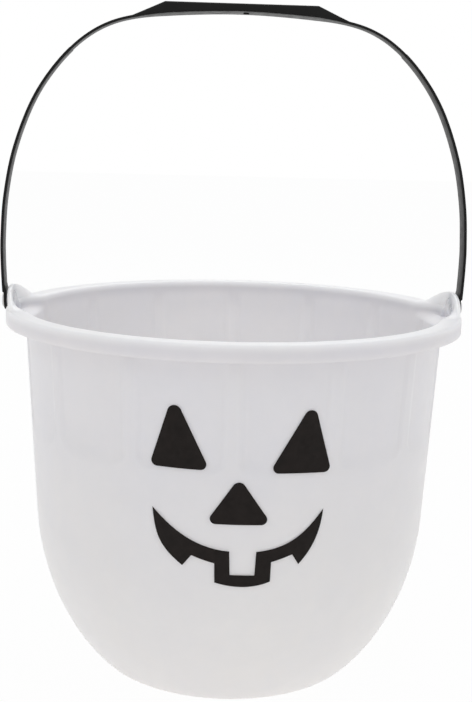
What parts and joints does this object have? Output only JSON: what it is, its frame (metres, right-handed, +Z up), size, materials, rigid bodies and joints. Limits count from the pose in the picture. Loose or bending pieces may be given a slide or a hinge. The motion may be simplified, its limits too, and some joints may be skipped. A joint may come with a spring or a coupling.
{
  "type": "halloween bucket",
  "caption": "Round milky plastic treat pail with a printed jack-o'-lantern face, a turned-over rim and a swinging black strap handle.",
  "frame": {"origin": "centre of the foot, on the surface that the pail stands on", "axes": "+Z up, the printed face looks along -Y, the handle's pivots lie on a line along X"},
  "size_m": [0.2156, 0.21, 0.3018],
  "materials": {
    "milky_plastic": "milky, slightly translucent, satin",
    "black_plastic": "satin black",
    "black_ink": "printed ink"
  },
  "bodies": {
    "bucket": {"bucket": "milky_plastic", "left_eye_print": "black_ink", "right_eye_print": "black_ink", "nose_print": "black_ink", "mouth_print": "black_ink"},
    "handle": {"handle": "black_plastic"}
  },
  "joints": [
    {"name": "handle_swing", "type": "hinge", "parent": "bucket", "child": "handle", "pos_m": [0, 0, 0.1672], "axis": [1, 0, 0], "range_deg": [-130, 130]}
  ]
}
